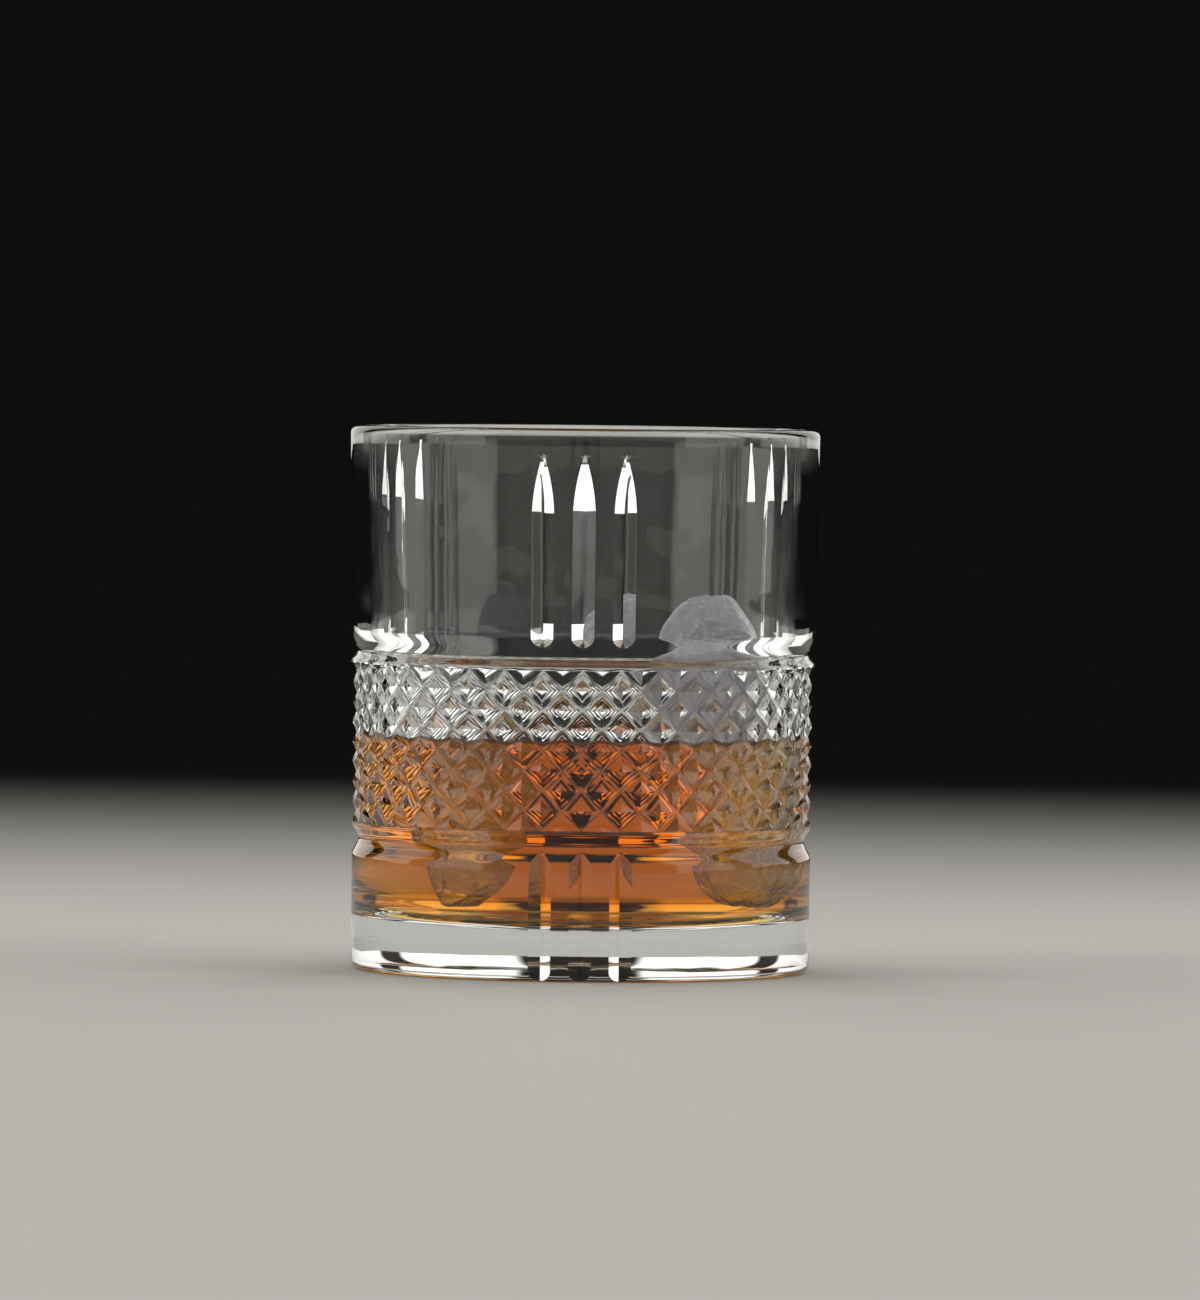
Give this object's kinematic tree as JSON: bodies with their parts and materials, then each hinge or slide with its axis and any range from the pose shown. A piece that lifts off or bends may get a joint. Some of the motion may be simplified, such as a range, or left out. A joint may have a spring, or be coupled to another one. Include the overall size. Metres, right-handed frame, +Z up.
{
  "type": "whiskey tumbler",
  "caption": "Straight-sided whiskey tumbler of pressed glass with a raised diamond band and vertical cut flutes, holding whisky and rough ice rocks.",
  "frame": {"origin": "centre of the foot ring, on the surface that the tumbler stands on", "axes": "+Z up the tumbler's axis to the rim; -Y is the front, where the middle flute of a group of three faces; +X is to the right seen from the front, towards the tall ice rock"},
  "size_m": [0.084, 0.084, 0.097],
  "materials": {
    "clear_glass": "fire-polished pressed soda-lime glass",
    "whisky": "clear amber liquid",
    "ice": "rough crystalline ice"
  },
  "bodies": {
    "tumbler": {"tumbler": "clear_glass", "whisky": "whisky"},
    "ice_rock_tall": {"ice_rock_tall": "ice"},
    "ice_rock_low": {"ice_rock_low": "ice"}
  },
  "joints": [
    {"name": "tall_rock_lift", "type": "slide", "parent": "tumbler", "child": "ice_rock_tall", "axis": [0, 0, 1], "range_m": [0, 0.092]},
    {"name": "low_rock_lift", "type": "slide", "parent": "tumbler", "child": "ice_rock_low", "axis": [0, 0, 1], "range_m": [0, 0.092]}
  ]
}
